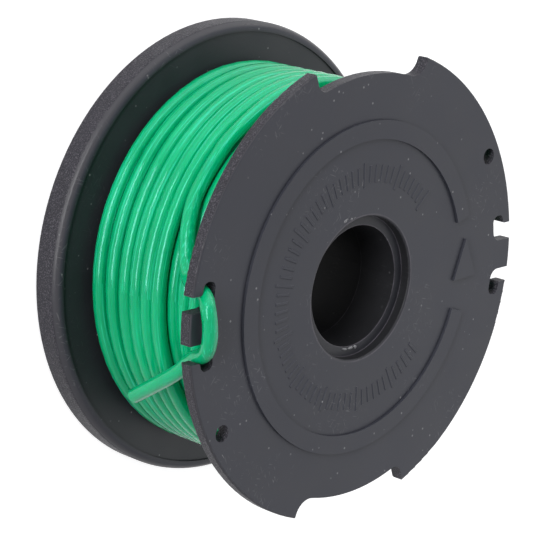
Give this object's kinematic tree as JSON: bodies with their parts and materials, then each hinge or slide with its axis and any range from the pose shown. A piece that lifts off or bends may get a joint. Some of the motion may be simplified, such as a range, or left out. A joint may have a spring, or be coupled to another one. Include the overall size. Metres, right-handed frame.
{
  "type": "trimmer line spool",
  "caption": "Flanged plastic spool wound with round green trimmer line; the line's end is looped over a tab between two slots in the front flange.",
  "frame": {"origin": "centre of the rear flange's outer face, on the bore's axis, where the spool stands", "axes": "+Z along the bore towards the front flange with the slots; -X towards the tab that holds the loose end"},
  "size_m": [0.0648, 0.0648, 0.0316],
  "materials": {
    "spool_plastic": "satin moulded, with a fine eroded grain on the rims",
    "line_nylon": "glossy, slightly translucent extruded nylon"
  },
  "bodies": {
    "root": {"spool": "spool_plastic", "wound_line": "line_nylon", "line_tail": "line_nylon"}
  },
  "joints": []
}
